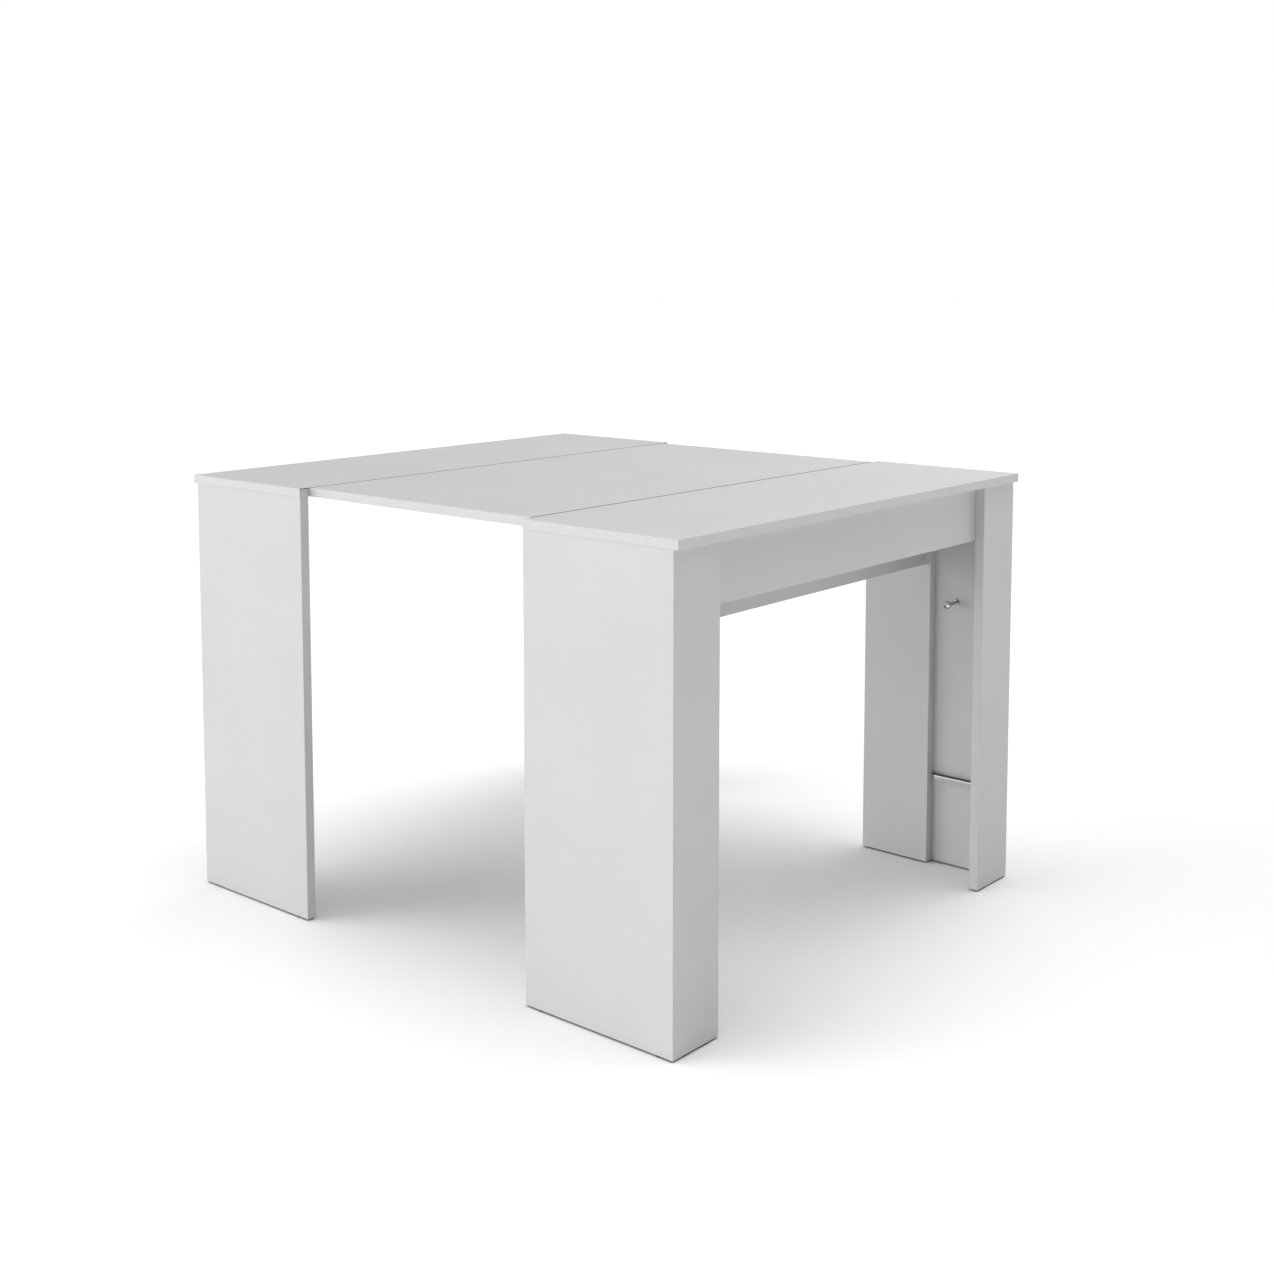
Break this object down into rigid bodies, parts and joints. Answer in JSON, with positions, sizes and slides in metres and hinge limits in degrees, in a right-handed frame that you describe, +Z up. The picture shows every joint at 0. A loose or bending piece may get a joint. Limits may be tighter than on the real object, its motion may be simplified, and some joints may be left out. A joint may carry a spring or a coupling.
{
  "type": "extending console table",
  "caption": "White melamine extending console table, open by one drop-in leaf: L-shaped storage legs, flat sliding legs, telescopic aluminium runners.",
  "frame": {"origin": "on the floor, under the middle of the table as shown, open by one leaf", "axes": "+X from the sliding end to the storage end, along the direction of extension; +Y along the tops from front to back; +Z up"},
  "size_m": [1.146, 1, 0.77],
  "materials": {
    "white_board": "satin white melamine on particle board",
    "runner_aluminium": "anodised",
    "zinc_steel": "zinc plated",
    "bright_steel": "polished",
    "grey_plastic": "moulded",
    "dark_plastic": "moulded",
    "beech": "raw"
  },
  "bodies": {
    "storage_end": {"cam_bolts": "zinc_steel", "cam_discs": "zinc_steel", "end_apron": "white_board", "fixed_beam_caps": "grey_plastic", "fixed_beam_screws": "zinc_steel", "front_fixed_runner_beam": "runner_aluminium", "front_inner_leg_panel": "white_board", "front_leaf_peg": "bright_steel", "front_leaf_rest_rail": "zinc_steel", "front_leg_return": "white_board", "front_outer_leg_panel": "white_board", "middle_stretcher": "white_board", "rear_fixed_runner_beam": "runner_aluminium", "rear_inner_leg_panel": "white_board", "rear_leaf_peg": "bright_steel", "rear_leaf_rest_rail": "zinc_steel", "rear_leg_return": "white_board", "rear_outer_leg_panel": "white_board", "rest_rail_screws": "zinc_steel", "storage_end_bracket_screws": "zinc_steel", "storage_end_brackets": "zinc_steel", "storage_end_dowels": "beech", "storage_end_glides": "dark_plastic", "storage_end_top": "white_board"},
    "sliding_end": {"end_beam_screws": "zinc_steel", "front_end_runner_beam": "runner_aluminium", "front_sliding_leg_panel": "white_board", "rear_end_runner_beam": "runner_aluminium", "rear_sliding_leg_panel": "white_board", "sliding_end_bracket_screws": "zinc_steel", "sliding_end_brackets": "zinc_steel", "sliding_end_cross_rail": "white_board", "sliding_end_dowels": "beech", "sliding_end_glides": "dark_plastic", "sliding_end_top": "white_board"},
    "leaf": {"extension_leaf": "white_board", "leaf_locating_blocks": "grey_plastic", "locating_block_screws": "zinc_steel"},
    "runner_first_stage": {"first_sliding_beam_caps": "grey_plastic", "front_first_sliding_beam": "runner_aluminium", "rear_first_sliding_beam": "runner_aluminium"},
    "runner_second_stage": {"front_second_sliding_beam": "runner_aluminium", "rear_second_sliding_beam": "runner_aluminium", "second_sliding_beam_caps": "grey_plastic"}
  },
  "joints": [
    {"name": "end_extension", "type": "slide", "parent": "storage_end", "child": "sliding_end", "axis": [-1, 0, 0], "range_m": [0, 0.534]},
    {"name": "first_stage_slide", "type": "slide", "parent": "storage_end", "child": "runner_first_stage", "axis": [-1, 0, 0], "range_m": [0, 0.178]},
    {"name": "second_stage_slide", "type": "slide", "parent": "storage_end", "child": "runner_second_stage", "axis": [-1, 0, 0], "range_m": [0, 0.356]},
    {"name": "leaf_lift", "type": "slide", "parent": "storage_end", "child": "leaf", "axis": [0, 0, 1], "range_m": [0, 0.3]}
  ],
  "couplings": [
    {"joint": "first_stage_slide", "follows": "end_extension", "ratio": 0.33333},
    {"joint": "second_stage_slide", "follows": "end_extension", "ratio": 0.66667}
  ]
}
